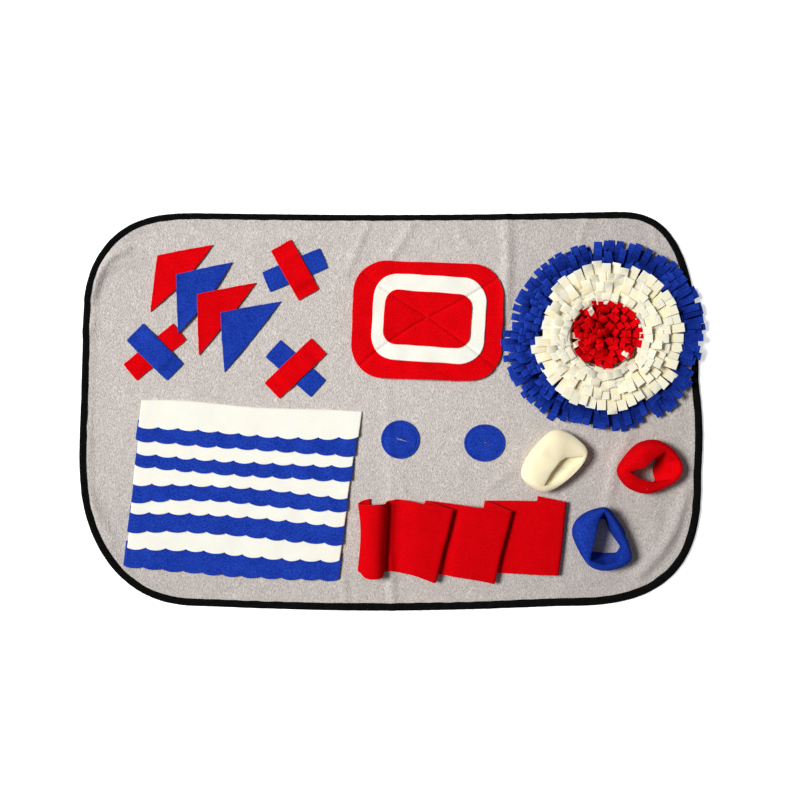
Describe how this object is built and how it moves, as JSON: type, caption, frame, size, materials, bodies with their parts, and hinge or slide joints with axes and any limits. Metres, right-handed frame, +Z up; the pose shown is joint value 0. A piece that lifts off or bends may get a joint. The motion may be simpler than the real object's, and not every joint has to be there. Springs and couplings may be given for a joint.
{
  "type": "snuffle mat",
  "caption": "Flat rounded fleece foraging mat for a dog, edge bound, with felt flaps, shingled scallops, cups, a pleated strip and a fringed rosette that hide treats.",
  "frame": {"origin": "middle of the ground fleece's underside, on the surface that the mat lies on", "axes": "+X along the mat's length, from the flaps to the rosette; +Y across it, from the pleated strip to the rosette; +Z up, out of the mat's face"},
  "size_m": [1.0047, 0.6415, 0.0453],
  "materials": {
    "grey_fleece": "light grey polyester fleece with a short curly nap",
    "black_tape": "black woven binding tape, folded over the edge and stitched",
    "red_fleece": "matte red polyester fleece with a very short nap",
    "cream_fleece": "matte cream polyester fleece with a very short nap",
    "blue_fleece": "matte royal blue polyester fleece with a very short nap"
  },
  "bodies": {
    "root": {"ground": "grey_fleece", "edge_binding": "black_tape", "triangle_flap_1": "red_fleece", "triangle_flap_2": "blue_fleece", "triangle_flap_3": "red_fleece", "triangle_flap_4": "blue_fleece", "cross_1_lower": "blue_fleece", "cross_1_upper": "red_fleece", "cross_2_lower": "blue_fleece", "cross_2_upper": "red_fleece", "cross_3_lower": "red_fleece", "cross_3_upper": "blue_fleece", "frame_outer": "red_fleece", "frame_middle": "cream_fleece", "frame_inner": "red_fleece", "scallop_tier_01": "cream_fleece", "scallop_tier_02": "blue_fleece", "scallop_tier_03": "cream_fleece", "scallop_tier_04": "blue_fleece", "scallop_tier_05": "cream_fleece", "scallop_tier_06": "blue_fleece", "scallop_tier_07": "cream_fleece", "scallop_tier_08": "blue_fleece", "scallop_tier_09": "cream_fleece", "scallop_tier_10": "blue_fleece", "slit_disc_left": "blue_fleece", "slit_disc_right": "blue_fleece", "pleated_strip": "red_fleece", "cup_cream": "cream_fleece", "cup_red": "red_fleece", "cup_blue": "blue_fleece", "rosette_blue": "blue_fleece", "rosette_cream": "cream_fleece", "rosette_red": "red_fleece"}
  },
  "joints": []
}
